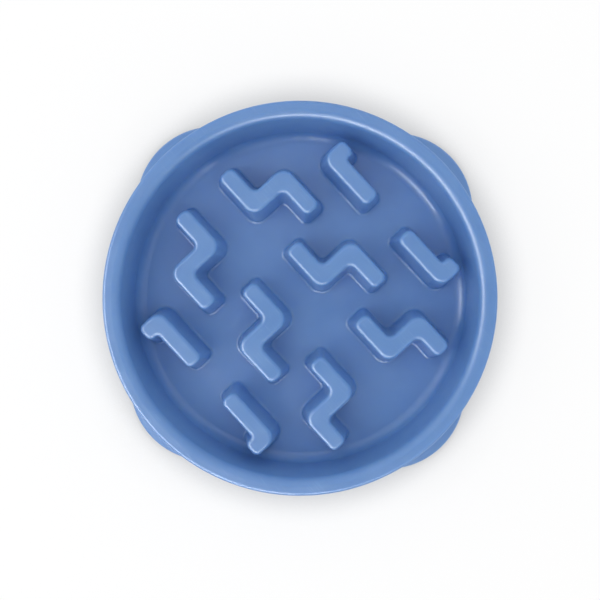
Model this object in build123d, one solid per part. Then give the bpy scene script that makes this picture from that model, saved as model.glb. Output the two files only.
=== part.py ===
from build123d import *
import math
import os

# A slow feeder bowl: one plastic moulding that stands on four push-in rubber feet.
# Z is the bowl's centre line and z = 0 is the table.
# X is the mirror line of the ridge pattern, and the four lobes lie on the X and Y axes.

# Rim, inner wall and floor
rim_diameter = 215.0
rim_width = 9.2
rim_outer_edge_radius = 2.0
rim_inner_edge_radius = 4.6
bowl_height = 44.0
wall = 2.4
inner_wall_draft = 5.3
floor_height = 11.0
floor_corner_radius = 6.0

# Outer skirt, open underneath, and the four lobes that flare out of it to carry the feet
skirt_draft = 3.0
skirt_gap = 1.8
skirt_edge_radius = 0.8
lobe_stand_out = 11.8
lobe_radius = 46.0
lobe_lip_height = 4.0
lobe_lip_radius = 3.0
lobe_slope = 31.0
lobe_blend_radius = 6.0
least_inside_radius = 0.2

# Section and corners of every ridge, which is hollow underneath
ridge_height = 26.0
ridge_width = 9.7
ridge_draft = 5.0
ridge_edge_radius = 2.4
ridge_base_radius = 1.9
ridge_elbow_radius = 7.0
ridge_inner_radius = 3.5
ridge_end_radius = 3.8

# Six zigzag ridges, three on each side of the mirror line
zigzag_pitch = 55.0
zigzag_inner_row = 16.8
zigzag_outer_row = 38.8
zigzag_reach = 24.3
zigzag_last_reach = 20.6

# Four bar ridges with a short hook, outside the zigzags
bar_row = 66.4
bar_near_end = 12.6
bar_length = 35.9
hook_length = 5.8
hook_inner_radius = 1.8
hook_least_flat = 0.4

# Rubber feet, and the posts under the lobes that hold them
foot_inset = 16.0
foot_pad_diameter = 15.0
foot_pad_height = 4.5
foot_edge_radius = 1.0
stem_diameter = 5.0
stem_length = 8.0
stem_tip_chamfer = 0.9
stem_groove_depth = 0.5
stem_groove_height = 1.2
stem_groove_count = 3
stem_clearance = 0.1
hole_end_gap = 1.0
post_wall = 2.5

# Levels, radii and angles worked out from the sizes above
skirt_lean = math.tan(math.radians(skirt_draft))
inner_wall_lean = math.tan(math.radians(inner_wall_draft))
ridge_lean = math.tan(math.radians(ridge_draft))
rim_radius = rim_diameter / 2
rim_inner_radius = rim_radius - rim_width
floor_radius = rim_inner_radius - (bowl_height - floor_height) * inner_wall_lean
floor_underside = floor_height - wall
ridge_top = floor_height + ridge_height
skirt_wall_across = wall / math.cos(math.radians(skirt_draft))
inner_wall_across = wall / math.cos(math.radians(inner_wall_draft))
lobe_rise = math.tan(math.radians(lobe_slope))
lobe_tip = rim_radius + (bowl_height - skirt_gap) * skirt_lean + lobe_stand_out
lobe_inside_radius = max(lobe_lip_radius - wall, least_inside_radius)
foot_circle_radius = lobe_tip - foot_inset
foot_angles = {"foot_right": 0, "foot_rear": 90, "foot_left": 180, "foot_front": 270}
hole_diameter = stem_diameter + 2 * stem_clearance
post_diameter = hole_diameter + 2 * post_wall
hook_tip_radius = min(ridge_end_radius, hook_length - hook_inner_radius - hook_least_flat)
half_ridge = ridge_width / 2


def skirt_block(inset, high):
    """The skirt's taper as a solid block from the table up, drawn in by the given amount."""
    lower_radius = rim_radius + bowl_height * skirt_lean - inset
    upper_radius = rim_radius + (bowl_height - high) * skirt_lean - inset
    block = Cone(lower_radius, upper_radius, high, align=(Align.CENTER, Align.CENTER, Align.MIN))
    return Rot(0, 0, 45) * block


def lobe_block(inset, corner_radius):
    """The four lobes as round blocks, drawn in likewise: an upright lip rounded over into a slope."""
    lip_radius = lobe_radius + skirt_gap * skirt_lean - inset / math.cos(math.radians(skirt_draft))
    peak = skirt_gap + lobe_lip_height + (lobe_radius - lobe_lip_height * skirt_lean) * lobe_rise
    peak -= inset / math.cos(math.radians(lobe_slope))
    corner_level = (peak - lip_radius * lobe_rise) / (1 - skirt_lean * lobe_rise)
    corner = (lip_radius - corner_level * skirt_lean, 0, corner_level)
    end_radius = lobe_radius - lobe_stand_out - wall
    end_level = peak - end_radius * lobe_rise
    outline = Polyline(
        (0, 0, 0), (lip_radius, 0, 0), corner, (end_radius, 0, end_level), (0, 0, end_level), close=True
    )
    face = make_face(outline)
    face = fillet(face.vertices().sort_by_distance(corner)[0], corner_radius)
    block = Pos(lobe_tip - lobe_radius, 0, 0) * Rot(0, 0, 180) * revolve(face, Axis.Z)
    return [Rot(0, 0, angle) * block for angle in foot_angles.values()]


def make_envelope():
    """The outside of the moulding as a solid block: skirt, lobes, rim edge and lower edge."""
    block = skirt_block(0, bowl_height) + lobe_block(0, lobe_lip_radius)
    block = fillet(block.edges().filter_by(GeomType.BSPLINE), lobe_blend_radius)
    block = split(block, Plane.XY.offset(skirt_gap), keep=Keep.TOP)
    block = fillet(block.edges().group_by(Axis.Z)[-1], rim_outer_edge_radius)
    return fillet(block.edges().group_by(Axis.Z)[0], skirt_edge_radius)


def make_hollow(outset, bottom, corner_radius):
    """The space inside the bowl above a level, grown by the given amount across its sloping wall."""
    lower_radius = floor_radius + outset - (floor_height - bottom) * inner_wall_lean
    corner = (lower_radius, 0, bottom)
    outline = Polyline(
        (0, 0, bottom), corner, (rim_inner_radius + outset, 0, bowl_height), (0, 0, bowl_height), close=True
    )
    face = make_face(outline)
    face = fillet(face.vertices().sort_by_distance(corner)[0], corner_radius)
    return revolve(face, Axis.Z)


def zigzag(centre, last_reach):
    """The corners of a zigzag's top face in order: place, which way is outwards, and kind of corner."""
    start, end = centre - zigzag_reach, centre + last_reach
    near, far = centre - half_ridge, centre + half_ridge
    inner_low, inner_high = zigzag_inner_row - half_ridge, zigzag_inner_row + half_ridge
    outer_low, outer_high = zigzag_outer_row - half_ridge, zigzag_outer_row + half_ridge
    return [
        (start, inner_low, -1, -1, "end"),
        (far, inner_low, 1, -1, "elbow"),
        (far, outer_low, 1, -1, "inner"),
        (end, outer_low, 1, -1, "end"),
        (end, outer_high, 1, 1, "end"),
        (near, outer_high, -1, 1, "elbow"),
        (near, inner_high, -1, 1, "inner"),
        (start, inner_high, -1, 1, "end"),
    ]


def hooked_bar():
    """The corners of a bar's top face with its hook at the far end, in the same form."""
    start, end = bar_near_end, bar_near_end + bar_length
    low, high = bar_row - half_ridge, bar_row + half_ridge
    inner, tip = end - ridge_width, high + hook_length
    return [
        (start, low, -1, -1, "end"),
        (end, low, 1, -1, "elbow"),
        (end, tip, 1, 1, "tip"),
        (inner, tip, -1, 1, "tip"),
        (inner, high, -1, 1, "hook"),
        (start, high, -1, 1, "end"),
    ]


def ridge_block(corners, low, high, inset, radii):
    """A block with sloping sides under a ridge's top face, drawn in and with its corners rounded."""
    rings = []
    for level in (low, high):
        spread = (ridge_top - level) * ridge_lean - inset
        rings.append([(x + spread * dx, y + spread * dy, level) for x, y, dx, dy, kind in corners])
    foot, crown = rings
    outlines = rings + [
        (foot[number - 1], foot[number], crown[number], crown[number - 1]) for number in range(len(corners))
    ]
    block = Solid(Shell([Face(Wire.make_polygon(outline)) for outline in outlines]))
    for rounded_kind, radius in radii.items():
        places = [place for place, corner in zip(crown, corners) if corner[-1] == rounded_kind]
        upright = block.edges().filter_by(lambda edge: edge.bounding_box().size.Z > (high - low) / 2)
        if places:
            block = fillet([upright.sort_by_distance(place)[0] for place in places], radius)
    return block


def make_ridge(corners):
    """A ridge from the floor's face to its rounded top edges."""
    radii = {"end": ridge_end_radius, "inner": ridge_inner_radius, "elbow": ridge_elbow_radius}
    radii.update({"tip": hook_tip_radius, "hook": hook_inner_radius})
    block = ridge_block(corners, floor_height, ridge_top, 0, radii)
    return fillet(block.edges().group_by(Axis.Z)[-1], ridge_edge_radius)


def make_core(corners):
    """The hollow under a ridge, which leaves one wall thickness all round and follows its elbows."""
    inset = wall / math.cos(math.radians(ridge_draft))
    radii = {"elbow": ridge_elbow_radius - wall}
    return ridge_block(corners, floor_underside, ridge_top - wall, inset, radii)


def spread_pattern(make):
    """Every ridge of the pattern: three zigzags and two hooked bars, mirrored across X."""
    pieces = [make(zigzag(-zigzag_pitch, zigzag_reach)), make(zigzag(0, zigzag_reach))]
    pieces.append(make(zigzag(zigzag_pitch, zigzag_last_reach)))
    bar = make(hooked_bar())
    pieces += [bar, mirror(bar, about=Plane.YZ)]
    return pieces + [mirror(piece, about=Plane.XZ) for piece in pieces]


def make_ridged_floor():
    """The floor with its ridges standing on it and a cove round the foot of each."""
    ridges = spread_pattern(make_ridge)
    reach = max(math.hypot(corner.X, corner.Y) for ridge in ridges for corner in ridge.vertices())
    plate = Pos(0, 0, floor_underside) * Rot(0, 0, 45) * Cylinder(
        reach + floor_corner_radius, wall, align=(Align.CENTER, Align.CENTER, Align.MIN)
    )
    block = plate + ridges
    hair = 0.01
    on_floor = block.edges().filter_by_position(Axis.Z, floor_height - hair, floor_height + hair)
    feet_of_ridges = on_floor.sort_by(SortBy.LENGTH)[:-1]
    return fillet(feet_of_ridges, ridge_base_radius)


def at_feet(piece):
    """A piece made on the centre line, set under each of the four lobes."""
    return [Rot(0, 0, angle) * Pos(foot_circle_radius, 0, 0) * piece for angle in foot_angles.values()]


def upright_cylinder(diameter, low, high):
    """A round bar on the centre line between two levels."""
    return Pos(0, 0, low) * Cylinder(diameter / 2, high - low, align=(Align.CENTER, Align.CENTER, Align.MIN))


def make_bowl_body():
    """The whole moulding: rim, wall, ridged floor, skirt and lobes, hollow underneath with four posts."""
    body = make_envelope() - make_hollow(0, floor_height, floor_corner_radius)
    rim_inner_edge = body.edges().group_by(Axis.Z)[-1].sort_by(SortBy.LENGTH)[0]
    body = fillet(rim_inner_edge, rim_inner_edge_radius)
    inside_of_wall = make_hollow(inner_wall_across, floor_underside, floor_corner_radius + wall)
    body += make_ridged_floor() & inside_of_wall
    underside = skirt_block(skirt_wall_across, bowl_height - wall) + lobe_block(wall, lobe_inside_radius)
    underside -= inside_of_wall
    underside -= at_feet(upright_cylinder(post_diameter, foot_pad_height, bowl_height))
    body -= underside
    body -= spread_pattern(make_core)
    hole_top = foot_pad_height + stem_length + hole_end_gap
    return body - at_feet(upright_cylinder(hole_diameter, 0, hole_top))


def make_foot():
    """A rubber foot: a round pad on the table, and a grooved stem that pushes up into its post."""
    pad = upright_cylinder(foot_pad_diameter, 0, foot_pad_height)
    pad = fillet(pad.edges().group_by(Axis.Z)[0], foot_edge_radius)
    stem_top = foot_pad_height + stem_length
    stem = upright_cylinder(stem_diameter, foot_pad_height, stem_top)
    stem = chamfer(stem.edges().group_by(Axis.Z)[-1], stem_tip_chamfer)
    spacing = stem_length / (stem_groove_count + 1)
    for number in range(stem_groove_count):
        low = foot_pad_height + spacing * (number + 1) - stem_groove_height / 2
        ring = upright_cylinder(foot_pad_diameter, low, low + stem_groove_height)
        stem -= ring - upright_cylinder(stem_diameter - 2 * stem_groove_depth, low, low + stem_groove_height)
    return pad + stem


os.makedirs("parts", exist_ok=True)
export_step(make_bowl_body(), "parts/bowl_body.step")
for name, foot in zip(foot_angles, at_feet(make_foot())):
    export_step(foot, f"parts/{name}.step")
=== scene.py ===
import bpy
import numpy as np
from mathutils import Matrix, Vector

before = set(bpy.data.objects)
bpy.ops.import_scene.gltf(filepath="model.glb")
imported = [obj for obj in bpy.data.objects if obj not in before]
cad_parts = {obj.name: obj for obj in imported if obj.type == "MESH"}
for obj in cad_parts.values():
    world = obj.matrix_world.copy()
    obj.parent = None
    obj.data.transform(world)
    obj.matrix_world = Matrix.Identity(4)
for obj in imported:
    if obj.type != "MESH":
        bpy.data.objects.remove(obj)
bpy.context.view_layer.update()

# Bowl body: rim, wall, ridged floor, skirt and lobes are one injection moulding in blue polypropylene.
# The mould is finely spark-eroded, so the plastic comes out satin with a faint grain.
# Washing and feeding leave hair scratches, most of them on the rim and on the tops of the ridges.
bowl_blue = (0.113, 0.252, 0.530, 1)
bowl_blue_pale = (0.127, 0.270, 0.552, 1)
scuffed_blue = (0.200, 0.350, 0.620, 1)
ridge_top = 0.037
rim_top = 0.044
scuff_depth = 0.0012
scuff_strength = 0.45
scuff_roughness = 0.12
scratches_along = 60.0
pigment_clouds_per_metre = 38.0
scuff_patches_per_metre = 90.0
sheen_clouds_per_metre = 70.0
waves_per_metre = 55.0
wave_depth = 0.0004
grain_per_metre = 1900.0
grain_depth = 0.00014
plastic_index = 1.49
glow_share = 0.7
glow_reach = 0.004
glow_by_colour = (0.5, 0.75, 1.0)


def new_finish(name):
    """A node material with one Principled shader, given back with its node tree."""
    finish = bpy.data.materials.new(name)
    finish.use_nodes = True
    return finish, finish.node_tree, finish.node_tree.nodes["Principled BSDF"]


def add_node(tree, kind, inputs=None, **settings):
    """A node of a kind with its settings; an input is a plain value, or another node's output."""
    node = tree.nodes.new(kind)
    for name, value in settings.items():
        setattr(node, name, value)
    for name, value in (inputs or {}).items():
        if isinstance(value, bpy.types.NodeSocket):
            tree.links.new(value, node.inputs[name])
        else:
            node.inputs[name].default_value = value
    return node


def blotches(tree, place, per_metre, detail=2.0, roughness=0.5):
    """Cloudy noise on the object's own coordinates, so many blotches to the metre."""
    inputs = {"Vector": place, "Scale": per_metre, "Detail": detail, "Roughness": roughness}
    return add_node(tree, "ShaderNodeTexNoise", inputs).outputs["Fac"]


def spread(tree, value, low, high, to_low=0.0, to_high=1.0):
    """A value between low and high, spread evenly from to_low to to_high and held there outside."""
    inputs = {"Value": value, "From Min": low, "From Max": high, "To Min": to_low, "To Max": to_high}
    return add_node(tree, "ShaderNodeMapRange", inputs).outputs["Result"]


def combine(tree, operation, first, second):
    """Two values put together by a plain sum: add, multiply or maximum."""
    return add_node(tree, "ShaderNodeMath", {0: first, 1: second}, operation=operation).outputs["Value"]


def upward(tree, vector):
    """How high a place lies, or how much of a direction points up: its Z."""
    return add_node(tree, "ShaderNodeSeparateXYZ", {"Vector": vector}).outputs["Z"]


def bumps(tree, height, strength, depth):
    """A relief that is as deep as given where its height is 1, drawn at part of its strength."""
    inputs = {"Height": height, "Strength": strength, "Distance": depth}
    return add_node(tree, "ShaderNodeBump", inputs)


def hair_lines(tree, place, turn, across):
    """Long thin streaks at an angle: noise drawn out in one direction, kept only where it is highest."""
    stretch = (scratches_along, across, scratches_along)
    inputs = {"Vector": place, "Rotation": (0, 0, turn), "Scale": stretch}
    drawn_out = add_node(tree, "ShaderNodeMapping", inputs).outputs["Vector"]
    return spread(tree, blotches(tree, drawn_out, 1.0, 0.0), 0.70, 0.78)


def tint(tree, share, first, second):
    """One colour turning into another by a share from 0 to 1."""
    node = add_node(tree, "ShaderNodeMix", data_type="RGBA")
    tree.links.new(share, node.inputs["Factor"])
    for socket, colour in ((node.inputs["A"], first), (node.inputs["B"], second)):
        if isinstance(colour, bpy.types.NodeSocket):
            tree.links.new(colour, socket)
        else:
            socket.default_value = colour
    return node.outputs["Result"]


def dress(node_name, finish):
    """A piece from the frame, covered all over in one finish."""
    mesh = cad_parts[node_name].data
    mesh.materials.clear()
    mesh.materials.append(finish)


plastic, tree, shader = new_finish("blue_polypropylene")
coordinates = add_node(tree, "ShaderNodeTexCoord")
place = coordinates.outputs["Object"]
outward = coordinates.outputs["Normal"]

# Pigment that flowed unevenly into the mould, in soft clouds a few centimetres wide
clouds = spread(tree, blotches(tree, place, pigment_clouds_per_metre), 0.35, 0.65)
pigment = tint(tree, clouds, bowl_blue, bowl_blue_pale)

# Hair scratches in two directions
one_way = hair_lines(tree, place, turn=0.6, across=2600.0)
other_way = hair_lines(tree, place, turn=-1.1, across=3100.0)
scratches = combine(tree, "MAXIMUM", one_way, other_way)

# They show in patches, and only where a face looks up and lies as high as the tops of the ridges
facing_up = spread(tree, upward(tree, outward), 0.7, 0.95)
high_up = spread(tree, upward(tree, place), ridge_top - scuff_depth, ridge_top)
worn = combine(tree, "MULTIPLY", facing_up, high_up)
patches = spread(tree, blotches(tree, place, scuff_patches_per_metre), 0.48, 0.62)
scuffs = combine(tree, "MULTIPLY", combine(tree, "MULTIPLY", worn, patches), scratches)
shown_scuffs = combine(tree, "MULTIPLY", scuffs, scuff_strength)
tree.links.new(tint(tree, shown_scuffs, pigment, scuffed_blue), shader.inputs["Base Color"])

# Satin: a grain of about half a millimetre, smoother where hands and muzzles rub it
grain = blotches(tree, place, grain_per_metre, 3.0, 0.6)
fine_satin = spread(tree, grain, 0.3, 0.7, 0.27, 0.37)
unrubbed = spread(tree, blotches(tree, place, sheen_clouds_per_metre), 0.3, 0.7, 0.0, 0.08)
satin = combine(tree, "ADD", fine_satin, unrubbed)
roughened = combine(tree, "ADD", satin, combine(tree, "MULTIPLY", scuffs, scuff_roughness))
tree.links.new(roughened, shader.inputs["Roughness"])
shader.inputs["IOR"].default_value = plastic_index

# Light goes a few millimetres into the plastic, the blue furthest, which softens walls and edges
shader.inputs["Subsurface Weight"].default_value = glow_share
shader.inputs["Subsurface Radius"].default_value = glow_by_colour
shader.inputs["Subsurface Scale"].default_value = glow_reach

# Relief: the mould's grain, and the slight waves where thick and thin places shrank unevenly
waves = bumps(tree, blotches(tree, place, waves_per_metre), 0.12, wave_depth)
relief = bumps(tree, grain, 0.30, grain_depth)
tree.links.new(waves.outputs["Normal"], relief.inputs["Normal"])
tree.links.new(relief.outputs["Normal"], shader.inputs["Normal"])

dress("bowl_body", plastic)

# Feet: four push-in pads of black thermoplastic rubber.
# Each is held by its grooved stem, which is pressed into a post under one of the lobes.
# They are moulded matt so that they grip, and the pads pick up pale dust from the floor.
rubber_black = (0.022, 0.022, 0.024, 1)
rubber_grey = (0.036, 0.036, 0.038, 1)
dust_grey = (0.16, 0.15, 0.14, 1)
dust_height = 0.0014
bloom_per_metre = 420.0
dust_specks_per_metre = 900.0
pores_per_metre = 3600.0
pore_depth = 0.00008

rubber, tree, shader = new_finish("black_rubber")
place = add_node(tree, "ShaderNodeTexCoord").outputs["Object"]
bloom = spread(tree, blotches(tree, place, bloom_per_metre, 3.0), 0.35, 0.7)
near_floor = spread(tree, upward(tree, place), 0.0, dust_height, 1.0, 0.0)
specks = spread(tree, blotches(tree, place, dust_specks_per_metre, 4.0), 0.45, 0.7, 0.0, 0.6)
dust = combine(tree, "MULTIPLY", near_floor, specks)
bare_rubber = tint(tree, bloom, rubber_black, rubber_grey)
tree.links.new(tint(tree, dust, bare_rubber, dust_grey), shader.inputs["Base Color"])
pores = blotches(tree, place, pores_per_metre, 2.0)
tree.links.new(spread(tree, pores, 0.3, 0.7, 0.68, 0.86), shader.inputs["Roughness"])
tree.links.new(bumps(tree, pores, 0.35, pore_depth).outputs["Normal"], shader.inputs["Normal"])

for name in ("foot_right", "foot_rear", "foot_left", "foot_front"):
    dress(name, rubber)

# Table: a wide sheet of white paper, flat under the bowl.
# The camera and mirror images see it lifted to white, less so close to the bowl,
# where an occlusion mask dims the lift and so paints a soft shadow onto the paper.
table_half = 6.0
paper_white = (0.94, 0.94, 0.94, 1)
pure_white = (1, 1, 1, 1)
lift_to_white = 0.75
painted_shadow_reach = 0.028
painted_shadow_white = 0.60

sides = np.array([-table_half, table_half])
across, along = np.meshgrid(sides, sides)
corners = np.stack([across.ravel(), along.ravel(), np.zeros(4)], axis=1)
sheet = bpy.data.meshes.new("table")
sheet.from_pydata(corners.tolist(), [], [(0, 1, 3, 2)])
table = bpy.data.objects.new("table", sheet)
bpy.context.scene.collection.objects.link(table)

paper, tree, shader = new_finish("white_paper")
shader.inputs["Base Color"].default_value = paper_white
shader.inputs["Roughness"].default_value = 1.0
shader.inputs["Specular IOR Level"].default_value = 0.0
# Painted shadow: ambient occlusion near the bowl lowers the emitted white, darkening the paper beside
# the bowl.
occlusion_near_bowl = add_node(tree, "ShaderNodeAmbientOcclusion", {"Distance": painted_shadow_reach}, samples=16)
painted_shadow_strength = spread(tree, occlusion_near_bowl.outputs["AO"], 0.70, 0.98, painted_shadow_white, 1.0)
white = add_node(tree, "ShaderNodeEmission", {"Color": pure_white, "Strength": painted_shadow_strength})
ray = add_node(tree, "ShaderNodeLightPath")
seen = combine(tree, "MAXIMUM", ray.outputs["Is Camera Ray"], ray.outputs["Is Glossy Ray"])
seen = combine(tree, "MAXIMUM", seen, ray.outputs["Is Transmission Ray"])
lifted = add_node(tree, "ShaderNodeMixShader", {0: combine(tree, "MULTIPLY", seen, lift_to_white)})
tree.links.new(shader.outputs["BSDF"], lifted.inputs[1])
tree.links.new(white.outputs["Emission"], lifted.inputs[2])
tree.links.new(lifted.outputs["Shader"], tree.nodes["Material Output"].inputs["Surface"])
sheet.materials.append(paper)

# Light: a white tent with a darker hole overhead for the camera.
# A soft lamp stands to the photograph's left, and a small one hangs high up behind.
# Three low panels round its lower left draw the bright lines on rounded edges.
photo_right = Vector((0.678, 0.735, 0.0))
photo_up = Vector((-0.735, 0.678, 0.0))
straight_up = Vector((0, 0, 1))
rim_centre = Vector((0, 0, rim_top))
tent_low_down = 0.85
tent_overhead = 1.05
camera_hole = 0.30
edge_panel_places = ((-0.02, -0.50), (-0.32, -0.385), (-0.50, -0.07))

world = bpy.data.worlds.new("white_tent")
world.use_nodes = True
tree = world.node_tree
tent = tree.nodes["Background"]
tent.inputs["Color"].default_value = pure_white
steepness = upward(tree, add_node(tree, "ShaderNodeTexCoord").outputs["Generated"])
cloth = spread(tree, steepness, 0.0, 1.0, tent_low_down, tent_overhead)
hole = spread(tree, steepness, 0.93, 0.98, 1.0, camera_hole)
tree.links.new(combine(tree, "MULTIPLY", cloth, hole), tent.inputs["Strength"])
backdrop = add_node(tree, "ShaderNodeBackground", {"Color": pure_white, "Strength": 1.0})
ray = add_node(tree, "ShaderNodeLightPath")
choose = add_node(tree, "ShaderNodeMixShader", {0: ray.outputs["Is Camera Ray"]})
tree.links.new(tent.outputs["Background"], choose.inputs[1])
tree.links.new(backdrop.outputs["Background"], choose.inputs[2])
tree.links.new(choose.outputs["Shader"], tree.nodes["World Output"].inputs["Surface"])
bpy.context.scene.world = world


def placing(spot, level, away):
    """A placing at a spot, with its right-hand side along level and its back turned away."""
    turn = Matrix((level, away.cross(level), away)).transposed()
    return Matrix.Translation(spot) @ turn.to_4x4()


def softbox(name, right, up, height, width, depth, power):
    """A flat lamp at a place given by the photograph's right and up, turned to face the bowl."""
    lamp = bpy.data.lights.new(name, "AREA")
    lamp.shape = "RECTANGLE"
    lamp.size = width
    lamp.size_y = depth
    lamp.energy = power
    holder = bpy.data.objects.new(name, lamp)
    spot = right * photo_right + up * photo_up + height * straight_up
    away = (spot - rim_centre).normalized()
    holder.matrix_world = placing(spot, straight_up.cross(away).normalized(), away)
    bpy.context.scene.collection.objects.link(holder)
    return holder


softbox("left_softbox", right=-0.9, up=-0.25, height=1.1, width=0.9, depth=0.9, power=3.0)
softbox("top_softbox", right=0.0, up=0.28, height=1.1, width=0.35, depth=0.20, power=0.66)
for number, (right, up) in enumerate(edge_panel_places):
    panel = softbox(f"edge_panel_{number}", right, up, height=0.37, width=0.46, depth=0.32, power=4.5)
    panel.visible_diffuse = False

# Camera: above the bowl and all but square to it, as the photograph was taken.
# The picture's lower edge lies between the right foot and the front foot.
eye = Vector((0.0007, 0.0116, 0.474))
target = Vector((0.0007, 0.0001, rim_top))

camera_data = bpy.data.cameras.new("camera")
camera_data.sensor_width = 36.0
camera_data.lens = 47.6
camera = bpy.data.objects.new("camera", camera_data)
back = (eye - target).normalized()
camera.matrix_world = placing(eye, photo_up.cross(back).normalized(), back)
bpy.context.scene.collection.objects.link(camera)
bpy.context.scene.camera = camera
bpy.context.scene.view_settings.view_transform = "Standard"
